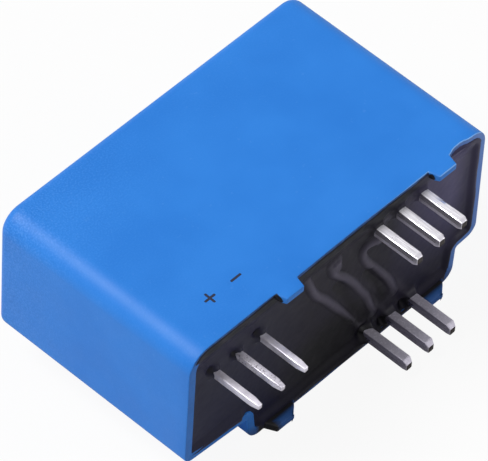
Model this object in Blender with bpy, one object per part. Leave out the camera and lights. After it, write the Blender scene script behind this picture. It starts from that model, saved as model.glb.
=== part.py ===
# Closed-loop Hall effect current sensor for soldering to a circuit board.
# It lies on its back: +Z is the front face, the pins point to -Y and the roof is at +Y.
# Sizes are in metres. Every piece is drawn in the case's own axes: x from the left end,
# y from the rim (pins at minus y) and z from the back.

import math

import bmesh
import bpy
from mathutils import Vector

# Running sizes
gap = 0.0003
pitch = 0.00254
row_spacing = 5 * pitch
group_spacing = 7 * pitch
row_setback = 0.00025

# Pins
primary_width = 0.00085
primary_thickness = 0.00095
primary_tip = 0.0005
secondary_width = 0.0006
secondary_thickness = 0.00065
secondary_tip = 0.0009
secondary_tail = 0.0052
secondary_inset = 0.0041
pin_reach = 0.00455
tip_share = 0.6
bend_radius = 0.0012

# Case
wall = 0.0008
roof_thickness = 0.001
left_margin = 0.0056
leg_clearance = 0.000475
back_step = 0.0036
back_slope = 0.0007
raised_start = 0.0072
right_shoulder = 0.0024
raised_lean = 0.0002
front_left_radius = 0.002
front_right_radius = 0.0018
back_left_radius = 0.0009
back_right_radius = 0.0011
raised_radius = 0.0013
root_radius = 0.0003
roof_radius = 0.001
cavity_radius = 0.0004

# Feet on the rim
foot_height = 0.001
foot_width = 0.0019
foot_flare = 0.00025
back_foot_flare = 0.0005
foot_chamfer = 0.0005
foot_thinning = 0.0002
left_foot_inset = 0.0033
right_foot_inset = 0.0032

# Resin
resin_depth = 0.0003
resin_skin = 0.0006
resin_cover = 0.0025
meniscus_height = 0.00025
meniscus_width = 0.0007
ridge_height = 0.00025
ridge_width = 0.0013
ridge_lead = 0.0074
ridge_inset = 0.0014
ridge_fan_start = 0.0007
ridge_fan_end = 0.0008
collar_height = 0.0002
collar_width = 0.0004

# Carrier that holds the primary bars in the core's window
carrier_wall = 0.0008
carrier_space = 0.00565

# Core
core_leg = 0.0026
core_stack = 0.0046
lamination_count = 10
lamination_groove = 0.00012
window_clearance = 0.001325
air_gap = 0.0016

# Coil
bobbin_wall = 0.0005
flange_thickness = 0.0006
winding_build = 0.001
turn_pitch = 0.0006
turn_relief = 0.00015
tape_thickness = 0.00015
bobbin_corner = 0.0004
coil_lead_radius = 0.00015

# Circuit board and what stands on it, each size as length, width and height
board_thickness = 0.0008
board_length = 0.0115
board_notch = 0.0012
board_edge = 0.0013
room_above_board = 0.0026
room_below_board = 0.0024
lead_width = 0.00035
lead_pitch = 0.00127
amplifier_size = (0.0039, 0.0049, 0.0015)
transistor_size = (0.0026, 0.0036, 0.0014)
transistor_pitch = 0.0046
capacitor_size = (0.0021, 0.0013, 0.0011)
capacitor_pitch = 0.0034
resistor_size = (0.0019, 0.0012, 0.0005)
resistor_pitch = 0.0027
part_margin = 0.002

# Places worked out from the sizes above
bar_group = 2 * pitch + primary_width
carrier_width = bar_group + 2 * (gap + carrier_wall)
window_width = carrier_width + 2 * window_clearance
core_width = window_width + 2 * core_leg
right_margin = core_width / 2 + gap + resin_skin + gap + wall
case_length = left_margin + group_spacing + right_margin
case_depth = row_spacing + primary_thickness + 2 * (wall + leg_clearance)
mid_depth = case_depth / 2 - row_setback
leg_back_z = mid_depth - row_spacing / 2
leg_front_z = mid_depth + row_spacing / 2
secondary_x = left_margin
primary_x = left_margin + group_spacing
raised_end = case_length - right_shoulder

coil_shell = tape_thickness + gap + winding_build + gap + bobbin_wall + gap
lower_yoke_start = resin_depth + resin_cover
lower_yoke_end = lower_yoke_start + core_leg
coil_start = lower_yoke_end + carrier_space
upper_yoke_start = coil_start + coil_shell
upper_yoke_end = upper_yoke_start + core_leg
coil_end = upper_yoke_end + coil_shell
resin_end = coil_end + gap / 2
cavity_end = resin_end + gap
case_height = cavity_end + roof_thickness
bridge_y = lower_yoke_end + carrier_space / 2
core_left = primary_x - core_width / 2
core_right = primary_x + core_width / 2
board_left = wall + gap + resin_skin + gap
board_start = resin_depth + board_edge
board_end = cavity_end - 3 * gap
secondary_z = case_depth - secondary_inset
board_right = board_left + board_length
board_top = secondary_z - secondary_thickness / 2 - gap
board_bottom = board_top - board_thickness
hall_reach = 0.45 * core_stack


def clear_scene():
    for old in list(bpy.data.objects):
        bpy.data.objects.remove(old, do_unlink=True)


def make_material(name, colour, roughness, metallic=0.0):
    material = bpy.data.materials.new(name)
    material.use_nodes = True
    shader = material.node_tree.nodes["Principled BSDF"]
    shader.inputs["Base Color"].default_value = (*colour, 1.0)
    shader.inputs["Roughness"].default_value = roughness
    shader.inputs["Metallic"].default_value = metallic
    material.diffuse_color = (*colour, 1.0)
    return material


def add_object(name, mesh_edit, material, place=(0.0, 0.0, 0.0), smooth_angle=35.0):
    bmesh.ops.recalc_face_normals(mesh_edit, faces=mesh_edit.faces)
    mesh = bpy.data.meshes.new(name)
    mesh_edit.to_mesh(mesh)
    mesh_edit.free()
    mesh.shade_smooth()
    mesh.set_sharp_from_angle(angle=math.radians(smooth_angle))
    added = bpy.data.objects.new(name, mesh)
    bpy.context.scene.collection.objects.link(added)
    added.location = place
    added.parent = sensor
    if material:
        mesh.materials.append(material)
    return added


def add_guide(name, mesh_edit, place=(0.0, 0.0, 0.0)):
    guide = add_object(name, mesh_edit, None, place)
    guide.hide_render = True
    guide.display_type = "WIRE"
    return guide


def combine(target, guide, operation="DIFFERENCE"):
    modifier = target.modifiers.new(guide.name, "BOOLEAN")
    modifier.operation = operation
    modifier.solver = "EXACT"
    modifier.object = guide


# A corner is (u, v, radius). The outline runs anticlockwise.
def inset_corners(corners, distance):
    moved = []
    count = len(corners)
    for index, (u, v, radius) in enumerate(corners):
        here = Vector((u, v))
        before = Vector(corners[index - 1][:2])
        after = Vector(corners[(index + 1) % count][:2])
        arriving = (here - before).normalized()
        leaving = (after - here).normalized()
        inward_arriving = Vector((-arriving.y, arriving.x))
        inward_leaving = Vector((-leaving.y, leaving.x))
        turn = arriving.x * leaving.y - arriving.y * leaving.x
        shift = (inward_arriving + inward_leaving) / (1 + inward_arriving.dot(inward_leaving))
        change = -distance if turn > 0 else distance
        moved.append((*(here + shift * distance), max(radius + change, 0.00005)))
    return moved


def rounded_outline(corners, steps=6):
    points = []
    count = len(corners)
    for index, (u, v, radius) in enumerate(corners):
        here = Vector((u, v))
        arriving = (here - Vector(corners[index - 1][:2])).normalized()
        leaving = (Vector(corners[(index + 1) % count][:2]) - here).normalized()
        turn = math.atan2(arriving.x * leaving.y - arriving.y * leaving.x, arriving.dot(leaving))
        reach = radius * math.tan(abs(turn) / 2)
        side = 1 if turn > 0 else -1
        centre = here - arriving * reach + Vector((-arriving.y, arriving.x)) * radius * side
        start = here - arriving * reach - centre
        for step in range(steps + 1):
            angle = turn * step / steps
            spun = Vector((start.x * math.cos(angle) - start.y * math.sin(angle),
                           start.x * math.sin(angle) + start.y * math.cos(angle)))
            points.append(tuple(centre + spun))
    return points


# Joins rings of points, each the same length. An open stack is capped, a closed one is a tube.
def stack_rings(rings, closed=False):
    mesh_edit = bmesh.new()
    rows = [[mesh_edit.verts.new(point) for point in ring] for ring in rings]
    pairs = list(zip(rows, rows[1:]))
    if closed:
        pairs.append((rows[-1], rows[0]))
    for lower, upper in pairs:
        for index in range(len(lower)):
            following = (index + 1) % len(lower)
            mesh_edit.faces.new((lower[index], lower[following], upper[following], upper[index]))
    if not closed:
        mesh_edit.faces.new(rows[0])
        mesh_edit.faces.new(rows[-1])
    return mesh_edit


def prism_z(outline, start, end):
    return stack_rings([[(x, y, z) for x, y in outline] for z in (start, end)])


# A prism along y whose far end is rounded over, as the closed end of a moulding is.
def rounded_prism(corners, start, end, radius, segments):
    rings = [[(x, start, z) for x, z in rounded_outline(corners)]]
    for segment in range(segments + 1):
        angle = math.radians(90 * segment / segments)
        y = end - radius * (1 - math.sin(angle))
        outline = rounded_outline(inset_corners(corners, radius * (1 - math.cos(angle))))
        rings.append([(x, y, z) for x, z in outline])
    return stack_rings(rings)


def box(low, high, bevel=0.0):
    mesh_edit = bmesh.new()
    bmesh.ops.create_cube(mesh_edit, size=1.0)
    low = Vector(low)
    high = Vector(high)
    for vert in mesh_edit.verts:
        vert.co = Vector((low[axis] + (vert.co[axis] + 0.5) * (high[axis] - low[axis])
                          for axis in range(3)))
    if bevel:
        bmesh.ops.bevel(mesh_edit, geom=mesh_edit.edges[:], offset=bevel, segments=1,
                        affect="EDGES")
    return mesh_edit


# A flat strip along a path that stays in the plane square to the side vector.
def strip(points, side, width, thickness, shares=None):
    points = [Vector(point) for point in points]
    side = Vector(side)
    rings = []
    for index, point in enumerate(points):
        arriving = (point - points[max(index - 1, 0)]).normalized()
        leaving = (points[min(index + 1, len(points) - 1)] - point).normalized()
        if index == 0:
            arriving = leaving
        if index == len(points) - 1:
            leaving = arriving
        normal = side.cross(arriving + leaving).normalized()
        stretch = 1 / normal.dot(side.cross(leaving))
        share = shares[index] if shares else 1.0
        across = side * width / 2 * share
        through = normal * thickness / 2 * share * stretch
        rings.append([point + across + through, point - across + through,
                      point - across - through, point + across - through])
    return stack_rings(rings)


def join_meshes(name, parts, material, place=(0.0, 0.0, 0.0)):
    body = add_object(name, parts[0], material, place)
    for number, part in enumerate(parts[1:], start=1):
        guide = add_guide(f"{name}_join_{number}", part, place)
        combine(body, guide, "UNION")
    return body


# The case's outline in x and z, anticlockwise from the back left corner.
def case_corners():
    thin_back = back_step
    left_root = thin_back - back_slope
    right_root = thin_back - back_slope / 3
    return [
        (0.0, thin_back, back_left_radius),
        (raised_start - raised_lean, left_root, root_radius),
        (raised_start + raised_lean, 0.0, raised_radius),
        (raised_end - raised_lean / 2, 0.0, raised_radius),
        (raised_end + raised_lean / 2, right_root, root_radius),
        (case_length, thin_back, back_right_radius),
        (case_length, case_depth, front_right_radius),
        (0.0, case_depth, front_left_radius),
    ]


def foot_guide(name, centre, flare_left, flare_right, chamfer, low, high):
    half = foot_width / 2
    root = wall / 2
    outline = [
        (centre - half - flare_left, root),
        (centre - half - flare_left, 0.0),
        (centre - half, -foot_height),
        (centre + half - chamfer * 0.2, -foot_height),
        (centre + half + chamfer, chamfer - foot_height),
        (centre + half + flare_right, 0.0),
        (centre + half + flare_right, root),
    ]
    mesh_edit = prism_z(outline, low, high)
    for vert in mesh_edit.verts:
        inner = low if low > mid_depth else high
        if vert.co.y < -foot_height / 2 and abs(vert.co.z - inner) < 1e-7:
            vert.co.z += foot_thinning if low > mid_depth else -foot_thinning
    return add_guide(name, mesh_edit)


def build_case():
    shell = rounded_prism(case_corners(), 0.0, case_height, roof_radius, 4)
    case = add_object("case", shell, blue_plastic, smooth_angle=30.0)
    left_foot = raised_start + left_foot_inset
    right_foot = raised_end - right_foot_inset
    for side, centre in (("left", left_foot), ("right", right_foot)):
        front = foot_guide(f"front_{side}_foot", centre, foot_flare, foot_flare, 0.0,
                           case_depth - wall, case_depth)
        back = foot_guide(f"back_{side}_foot", centre, back_foot_flare,
                          back_foot_flare + foot_chamfer, foot_chamfer, 0.0, wall)
        combine(case, front, "UNION")
        combine(case, back, "UNION")
    cavity = rounded_prism(inset_corners(case_corners(), wall), -0.1 * wall, cavity_end,
                           cavity_radius, 2)
    combine(case, add_guide("case_cavity", cavity))


# One side of a primary bar's centreline, from its tip to the middle of its bridge.
def primary_half(turn):
    leg_z = row_spacing / 2
    points = [(0.0, -pin_reach, leg_z), (0.0, primary_tip - pin_reach, leg_z)]
    for step in range(7):
        angle = math.radians(90 * step / 6)
        points.append((0.0, bridge_y - bend_radius * (1 - math.sin(angle)),
                       leg_z - bend_radius * (1 - math.cos(angle))))
    return [(x, y, z * turn) for x, y, z in points]


def build_primary_bars():
    path = primary_half(1) + primary_half(-1)[::-1]
    shares = [tip_share] + [1.0] * (len(path) - 2) + [tip_share]
    for number in range(3):
        bar = strip(path, (1.0, 0.0, 0.0), primary_width, primary_thickness, shares)
        add_object(f"primary_bar_{number + 1}", bar, tinned_copper,
                   (primary_x + (number - 1) * pitch, 0.0, mid_depth))


def build_secondary_pins():
    path = [(0.0, -pin_reach, 0.0), (0.0, secondary_tip - pin_reach, 0.0),
            (0.0, secondary_tail, 0.0)]
    for number in range(3):
        pin = strip(path, (1.0, 0.0, 0.0), secondary_width, secondary_thickness,
                    [tip_share, 1.0, 1.0])
        add_object(f"secondary_pin_{number + 1}", pin, tinned_brass,
                   (secondary_x + (number - 1) * pitch, 0.0, secondary_z))


# A comb that straddles the lower yoke. Its bars drop in from the roof side.
def build_carrier():
    half_width = carrier_width / 2
    half_depth = (row_spacing + primary_thickness) / 2
    rib_start = resin_depth + 2 * gap
    slot_half = primary_width / 2 + gap
    inner_leg = (row_spacing - primary_thickness) / 2 - gap
    block = box((-half_width, rib_start, -half_depth),
                (half_width, coil_start - gap, half_depth))
    carrier = add_object("primary_carrier", block, black_plastic, (primary_x, 0.0, mid_depth))
    channel = box((-half_width - gap, 0.0, carrier_wall - inner_leg),
                  (half_width + gap, lower_yoke_end + gap, inner_leg - carrier_wall))
    combine(carrier, add_guide("carrier_channel", channel, (primary_x, 0.0, mid_depth)))
    for number in range(3):
        place = (primary_x + (number - 1) * pitch, 0.0, mid_depth)
        floor = bridge_y - primary_thickness / 2 - gap
        bridge = box((-slot_half, floor, -case_depth / 2), (slot_half, coil_start, case_depth / 2))
        combine(carrier, add_guide(f"bridge_slot_{number + 1}", bridge, place))
        for name, low, high in (("back", -case_depth / 2, -inner_leg),
                                ("front", inner_leg, case_depth / 2)):
            leg = box((-slot_half, 0.0, low), (slot_half, coil_start + gap, high))
            combine(carrier, add_guide(f"{name}_leg_slot_{number + 1}", leg, place))


# Stacked sheet steel: each sheet is followed by a shallow groove.
def laminations(corners):
    sheet = core_stack / lamination_count
    full = rounded_outline(corners, 2)
    sunk = rounded_outline(inset_corners(corners, lamination_groove), 2)
    rings = []
    for number in range(lamination_count):
        start = number * sheet - core_stack / 2
        rings += [[(x, y, start) for x, y in full],
                  [(x, y, start + sheet - lamination_groove) for x, y in full]]
        if number < lamination_count - 1:
            rings += [[(x, y, start + sheet - lamination_groove) for x, y in sunk],
                      [(x, y, start + sheet) for x, y in sunk]]
    return stack_rings(rings)


# Two L-shaped stacks close round the window. They part at the lower right corner and leave
# the air gap at the upper left one.
def build_core():
    corner = 0.4 * core_leg
    inside = lamination_groove * 2
    joint = lower_yoke_end + gap
    upper = [
        (core_left, upper_yoke_start, inside), (core_right - core_leg, upper_yoke_start, inside),
        (core_right - core_leg, joint, inside), (core_right, joint, inside),
        (core_right, upper_yoke_end, corner), (core_left, upper_yoke_end, inside),
    ]
    lower = [
        (core_left, lower_yoke_start, corner), (core_right, lower_yoke_start, inside),
        (core_right, lower_yoke_end, inside), (core_left + core_leg, lower_yoke_end, inside),
        (core_left + core_leg, upper_yoke_start - air_gap, inside),
        (core_left, upper_yoke_start - air_gap, inside),
    ]
    add_object("core_stack_upper", laminations(upper), silicon_steel, (0.0, 0.0, mid_depth))
    add_object("core_stack_lower", laminations(lower), silicon_steel, (0.0, 0.0, mid_depth))


# A ring round the upper yoke, a given distance out from the yoke's faces.
def yoke_ring(x, out):
    half_y = core_leg / 2 + out
    half_z = core_stack / 2 + out
    corner = min(out, 2 * bobbin_corner + 0.5 * out)
    corners = [(-half_y, -half_z, corner), (half_y, -half_z, corner),
               (half_y, half_z, corner), (-half_y, half_z, corner)]
    return [(x, y, z) for y, z in rounded_outline(corners, 3)]


def build_coil():
    place = (primary_x, (upper_yoke_start + upper_yoke_end) / 2, mid_depth)
    half = window_width / 2 - 2 * gap
    drum = half - flange_thickness
    tube = gap + bobbin_wall
    winding_in = tube + gap
    winding_out = winding_in + winding_build
    bobbin = stack_rings([
        yoke_ring(-half, winding_out), yoke_ring(-drum, winding_out), yoke_ring(-drum, tube),
        yoke_ring(drum, tube), yoke_ring(drum, winding_out), yoke_ring(half, winding_out),
        yoke_ring(half, gap), yoke_ring(-half, gap)], closed=True)
    add_object("coil_bobbin", bobbin, white_nylon, place)
    wound = drum - gap
    turns = max(round(2 * wound / turn_pitch), 2)
    rings = [yoke_ring(-wound, winding_out - turn_relief)]
    for turn in range(turns):
        middle = -wound + (turn + 0.5) * 2 * wound / turns
        edge = -wound + (turn + 1) * 2 * wound / turns
        rings += [yoke_ring(middle, winding_out), yoke_ring(edge, winding_out - turn_relief)]
    rings += [yoke_ring(wound, winding_in), yoke_ring(-wound, winding_in)]
    add_object("coil_winding", stack_rings(rings, closed=True), enamelled_copper, place)
    tape_in = winding_out + gap
    tape = stack_rings([
        yoke_ring(-drum, tape_in + tape_thickness), yoke_ring(drum, tape_in + tape_thickness),
        yoke_ring(drum, tape_in), yoke_ring(-drum, tape_in)], closed=True)
    add_object("coil_tape", tape, yellow_tape, place)
    build_coil_leads(place, half, winding_out)


def build_coil_leads(place, half, winding_out):
    start_x = place[0] - half - gap
    end_x = board_right - board_notch
    coil_z = mid_depth + core_stack / 2 + winding_out - 2 * coil_lead_radius
    board_z = board_top + gap + coil_lead_radius
    for number, side in enumerate((-1, 1), start=1):
        y = place[1] + side * core_leg / 2
        curve = bpy.data.curves.new(f"coil_lead_{number}", "CURVE")
        curve.dimensions = "3D"
        curve.bevel_depth = coil_lead_radius
        curve.bevel_resolution = 2
        curve.use_fill_caps = True
        spline = curve.splines.new("POLY")
        steps = 12
        spline.points.add(steps)
        for step in range(steps + 1):
            share = step / steps
            ease = share * share * (3 - 2 * share)
            spline.points[step].co = (start_x + (end_x - start_x) * share, y,
                                      coil_z + (board_z - coil_z) * ease, 1.0)
        curve.materials.append(enamelled_copper)
        lead = bpy.data.objects.new(f"coil_lead_{number}", curve)
        bpy.context.scene.collection.objects.link(lead)
        lead.parent = sensor


# A flat package in the air gap. Its four leads pass under the board and turn up to it.
def build_hall_element():
    y = upper_yoke_start - air_gap / 2
    half_y = air_gap / 2 - gap
    left = core_left - gap
    right = core_left + core_leg + gap
    package = box((left, y - half_y, mid_depth - hall_reach),
                  (right, y + half_y, mid_depth + hall_reach), 0.3 * half_y)
    leads = []
    count = 4
    step = 2 * hall_reach / count
    for number in range(count):
        z = mid_depth + hall_reach - (number + 0.5) * step
        foot_x = board_right - board_notch - (number + 0.5) * step
        path = [(left + half_y, y, z), (foot_x, y, z), (foot_x, y, board_bottom - gap)]
        leads.append(strip(path, (0.0, 1.0, 0.0), lead_width, lead_width))
    join_meshes("hall_element", [package] + leads, black_epoxy)


def build_board():
    cut = board_notch
    outline = [
        (board_left + cut, board_start), (board_right - cut, board_start),
        (board_right, board_start + cut), (board_right, board_end), (board_left, board_end),
        (board_left, board_start + cut),
    ]
    board = add_object("circuit_board", prism_z(outline, board_bottom, board_top), green_laminate)
    hole_radius = 2 * coil_lead_radius
    for number, x in enumerate((board_right - cut, board_left + cut), start=1):
        drill = bmesh.new()
        bmesh.ops.create_cone(drill, cap_ends=True, segments=16, radius1=hole_radius,
                              radius2=hole_radius, depth=3 * board_thickness)
        middle = (board_top + board_bottom) / 2
        combine(board, add_guide(f"board_hole_{number}", drill, (x, board_end - cut, middle)))


# A moulded package with bent leads on its two long sides. up is 1 above the board, -1 below.
def package_with_leads(name, centre, size, lead_ys, up, material):
    length, width, height = size
    board_face = board_top if up > 0 else board_bottom
    lead_thickness = 0.5 * lead_width
    stand = gap + lead_thickness
    shoulder_z = 0.45 * height
    foot_z = gap + lead_thickness / 2 - stand
    body = box((-length / 2, -width / 2, 0.0), (length / 2, width / 2, height), 0.1 * height)
    parts = [body]
    for side, lead_set in lead_ys.items():
        for y in lead_set:
            path = [(side * (length / 2 - 2 * lead_width), y, shoulder_z),
                    (side * (length / 2 + lead_width), y, shoulder_z),
                    (side * (length / 2 + lead_width), y, foot_z),
                    (side * (length / 2 + 3 * lead_width), y, foot_z)]
            parts.append(strip(path, (0.0, 1.0, 0.0), lead_width, lead_thickness))
    place = (centre[0], centre[1], board_face + up * stand)
    package = join_meshes(name, parts, material, place)
    if up < 0:
        for piece in [package] + [item for item in bpy.data.objects
                                  if item.name.startswith(name + "_join_")]:
            piece.rotation_euler = (0.0, math.pi, 0.0)


# A ceramic chip: the two end caps stand a little proud of the body.
def chip_part(name, centre, size, up, material):
    length, width, height = size
    cap = 0.2 * length
    proud = 0.04 * width
    rings = []
    for x, out in ((-length / 2, proud), (-length / 2 + cap, proud), (-length / 2 + cap, 0.0),
                   (length / 2 - cap, 0.0), (length / 2 - cap, proud), (length / 2, proud)):
        half = width / 2 + out
        rings.append([(x, -half, -out), (x, half, -out), (x, half, height + out),
                      (x, -half, height + out)])
    face = board_top + gap + proud if up > 0 else board_bottom - gap - proud - height
    add_object(name, stack_rings(rings), material, (centre[0], centre[1], face))


def build_board_parts():
    amplifier_x = (board_left + board_right) / 2 - transistor_size[0] / 2
    amplifier_y = secondary_tail + gap + amplifier_size[1] / 2 + lead_width
    amplifier_leads = [(index - 1.5) * lead_pitch for index in range(4)]
    package_with_leads("amplifier_chip", (amplifier_x, amplifier_y), amplifier_size,
                       {-1: amplifier_leads, 1: amplifier_leads}, 1, black_epoxy)
    transistor_x = board_left + part_margin + transistor_size[0] / 2
    transistor_y = board_start + part_margin + transistor_size[1] / 3
    for number in range(2):
        place = (transistor_x, transistor_y + number * transistor_pitch)
        package_with_leads(f"driver_transistor_{number + 1}", place, transistor_size,
                           {-1: [-lead_pitch, lead_pitch], 1: [0.0]}, -1, black_epoxy)
    capacitor_x = board_right - part_margin
    for number in range(2):
        place = (capacitor_x, amplifier_y + (number - 0.5) * capacitor_pitch)
        chip_part(f"bypass_capacitor_{number + 1}", place, capacitor_size, 1, tan_ceramic)
    for number in range(3):
        place = (board_left + part_margin + number * resistor_pitch,
                 board_end - board_notch - part_margin)
        chip_part(f"chip_resistor_{number + 1}", place, resistor_size, 1, black_ceramic)


# The soft ridges where the resin has set over what lies just under it, as points in x and z.
# Each bends twice on its way from the front wall to the back pins.
def resin_ridges():
    ridges = []
    for number in range(3):
        x = primary_x + (number - 1) * pitch
        start = Vector((x - ridge_lead + number * ridge_fan_start,
                        case_depth - wall - ridge_inset))
        end = Vector((x - (number + 1) * ridge_fan_end, leg_back_z + ridge_inset))
        span = end - start
        first = start + Vector((0.08 * span.x, 0.24 * span.y))
        last = end - Vector((0.2 * span.x, 0.42 * span.y))
        points = []
        steps = 14
        for step in range(steps + 1):
            t = step / steps
            u = 1 - t
            points.append(u ** 3 * start + 3 * u * u * t * first + 3 * u * t * t * last
                          + t ** 3 * end)
        ridges.append(points)
    return ridges


def ridge_mesh(points):
    rings = []
    for index, point in enumerate(points):
        heading = points[min(index + 1, len(points) - 1)] - points[max(index - 1, 0)]
        across = Vector((-heading.y, heading.x)).normalized()
        share = math.sin(math.pi * (index + 0.6) / (len(points) + 0.2)) ** 0.4
        ring = []
        for step in range(7):
            angle = math.pi * step / 6
            place = point + across * math.cos(angle) * ridge_width / 2 * share
            ring.append((place.x, resin_depth - math.sin(angle) * ridge_height * share, place.y))
        base_y = resin_depth + ridge_height
        first = point + across * ridge_width / 2 * share
        last = point - across * ridge_width / 2 * share
        ring.append((last.x, base_y, last.y))
        ring.append((first.x, base_y, first.y))
        rings.append(ring)
    return stack_rings(rings)


# A low collar where the resin climbs a pin. It stops short of the case's front wall.
def collar_mesh(half_x, half_z, room):
    rings = []
    for out, y in ((collar_width, resin_depth + collar_height), (collar_width, resin_depth),
                   (collar_width / 2, resin_depth - collar_height)):
        outer_x = half_x + gap + out
        outer_z = half_z + gap + out
        corners = [(-outer_x, -outer_z, out), (outer_x, -outer_z, out),
                   (outer_x, outer_z, out), (-outer_x, outer_z, out)]
        rings.append([(x, y, min(z, room)) for x, z in rounded_outline(corners, 3)])
    return stack_rings(rings)


def build_resin():
    corners = inset_corners(case_corners(), wall + gap)
    rings = []
    for inset, y in ((0.0, resin_end), (0.0, resin_depth - meniscus_height),
                     (0.4 * meniscus_width, resin_depth - 0.3 * meniscus_height),
                     (meniscus_width, resin_depth)):
        outline = rounded_outline(inset_corners(corners, inset))
        rings.append([(x, y, z) for x, z in outline])
    resin = add_object("potting_compound", stack_rings(rings), black_resin)
    for number, points in enumerate(resin_ridges(), start=1):
        combine(resin, add_guide(f"resin_ridge_{number}", ridge_mesh(points)), "UNION")
    pins = []
    for number in range(3):
        shift = (number - 1) * pitch
        pins.append((secondary_x + shift, secondary_z, secondary_width, secondary_thickness,
                     board_start))
        for leg_z in (leg_back_z, leg_front_z):
            pins.append((primary_x + shift, leg_z, primary_width, primary_thickness,
                         bridge_y + primary_thickness / 2))
    for number, (x, z, width, thickness, depth) in enumerate(pins, start=1):
        if z > mid_depth:
            room = case_depth - wall - 1.3 * gap - z
            collar = collar_mesh(width / 2, thickness / 2, room)
            combine(resin, add_guide(f"resin_collar_{number}", collar, (x, 0.0, z)), "UNION")
    for number, (x, z, width, thickness, depth) in enumerate(pins, start=1):
        half_x = width / 2 + gap
        half_z = thickness / 2 + gap
        hole = box((-half_x, -collar_height, -half_z), (half_x, depth + gap, half_z))
        combine(resin, add_guide(f"pin_hole_{number}", hole, (x, 0.0, z)))
    for name, low, high in resin_pockets():
        combine(resin, add_guide(f"pocket_{name}", box(low, high)))


# The room that the resin leaves round the pieces it holds. Where two rooms meet, their sides
# are set slightly apart so that no two of them share a face.
def resin_pockets():
    open_end = case_height
    half_stack = core_stack / 2 + gap
    stack_low = mid_depth - half_stack
    stack_high = mid_depth + half_stack
    coil_half = core_stack / 2 + coil_shell + gap
    coil_left = primary_x - window_width / 2 + gap
    coil_right = primary_x + window_width / 2 - gap
    carrier_half = carrier_width / 2 + gap
    leg_half = (row_spacing + primary_thickness) / 2 + gap
    lead_low = min(board_bottom, mid_depth + core_stack / 2)
    lead_top = max(mid_depth + coil_half, board_top + 2 * (gap + coil_lead_radius))
    hall_start = upper_yoke_start - air_gap
    hall_middle = upper_yoke_start - air_gap / 2
    hall_left = board_right - board_notch - 2 * hall_reach - gap
    return [
        ("board", (board_left - gap, board_start - gap, board_bottom - room_below_board),
         (board_right + gap, open_end, board_top + room_above_board)),
        ("coil_leads", (board_right - gap, hall_middle, lead_low),
         (coil_left + gap, open_end, lead_top)),
        ("hall_element", (hall_left, hall_start, stack_low),
         (core_left + core_leg, upper_yoke_start, board_bottom + gap)),
        ("upper_yoke", (core_left - 2 * gap, hall_middle, stack_low),
         (core_right + gap, open_end, stack_high)),
        ("left_leg", (core_left - gap, lower_yoke_start - gap, stack_low),
         (core_left + core_leg + gap, upper_yoke_start, stack_high)),
        ("right_leg", (core_right - core_leg - gap, lower_yoke_start, stack_low),
         (core_right + 0.9 * gap, upper_yoke_end, stack_high)),
        ("lower_yoke", (core_left, lower_yoke_start - 0.9 * gap, stack_low),
         (core_right + 0.8 * gap, lower_yoke_end + gap, stack_high)),
        ("coil", (coil_left, coil_start - gap, mid_depth - coil_half),
         (coil_right, open_end, mid_depth + coil_half)),
        ("carrier", (primary_x - carrier_half, resin_depth + gap, mid_depth - leg_half),
         (primary_x + carrier_half, coil_start, mid_depth + leg_half)),
    ]


clear_scene()
sensor = bpy.data.objects.new("sensor", None)
bpy.context.scene.collection.objects.link(sensor)
sensor.location = (-case_length / 2, -(case_height - pin_reach) / 2, 0.0)

blue_plastic = make_material("blue_plastic", (0.045, 0.22, 0.73), 0.45)
black_resin = make_material("black_resin", (0.022, 0.021, 0.03), 0.3)
black_plastic = make_material("black_plastic", (0.02, 0.02, 0.022), 0.5)
black_epoxy = make_material("black_epoxy", (0.025, 0.025, 0.025), 0.45)
tinned_copper = make_material("tinned_copper", (0.78, 0.78, 0.8), 0.3, 1.0)
tinned_brass = make_material("tinned_brass", (0.72, 0.72, 0.74), 0.35, 1.0)
silicon_steel = make_material("silicon_steel", (0.35, 0.36, 0.38), 0.4, 1.0)
white_nylon = make_material("white_nylon", (0.8, 0.79, 0.75), 0.5)
enamelled_copper = make_material("enamelled_copper", (0.55, 0.2, 0.07), 0.3, 0.8)
yellow_tape = make_material("yellow_tape", (0.8, 0.6, 0.08), 0.3)
green_laminate = make_material("green_laminate", (0.03, 0.25, 0.08), 0.4)
tan_ceramic = make_material("tan_ceramic", (0.45, 0.32, 0.2), 0.4)
black_ceramic = make_material("black_ceramic", (0.03, 0.03, 0.035), 0.4)

build_case()
build_primary_bars()
build_secondary_pins()
build_carrier()
build_core()
build_coil()
build_hall_element()
build_board()
build_board_parts()
build_resin()
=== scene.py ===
import math
from functools import partial

import bmesh
import bpy
import numpy as np
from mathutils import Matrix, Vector, noise


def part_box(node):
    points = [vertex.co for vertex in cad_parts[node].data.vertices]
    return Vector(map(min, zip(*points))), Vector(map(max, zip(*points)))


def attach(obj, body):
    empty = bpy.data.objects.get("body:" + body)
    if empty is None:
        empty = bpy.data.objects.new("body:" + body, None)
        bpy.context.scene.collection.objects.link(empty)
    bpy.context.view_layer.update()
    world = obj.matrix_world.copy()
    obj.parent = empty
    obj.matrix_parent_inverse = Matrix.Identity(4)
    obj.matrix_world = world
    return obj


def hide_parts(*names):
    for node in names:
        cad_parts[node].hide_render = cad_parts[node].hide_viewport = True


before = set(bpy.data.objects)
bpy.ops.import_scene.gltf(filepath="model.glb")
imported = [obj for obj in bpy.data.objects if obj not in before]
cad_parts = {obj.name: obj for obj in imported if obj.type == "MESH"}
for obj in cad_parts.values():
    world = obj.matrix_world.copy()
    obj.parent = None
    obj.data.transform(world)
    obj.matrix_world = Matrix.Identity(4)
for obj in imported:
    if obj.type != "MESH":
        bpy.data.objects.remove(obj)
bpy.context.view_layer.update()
print("frame loaded")

mm = 0.001


# Handling of meshes: what is picked is found by its place or its normal.

def leaveEditMode():
    if bpy.context.object and bpy.context.object.mode != "OBJECT":
        bpy.ops.object.mode_set(mode="OBJECT")


def deselectAll():
    leaveEditMode()
    bpy.ops.object.select_all(action="DESELECT")


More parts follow.
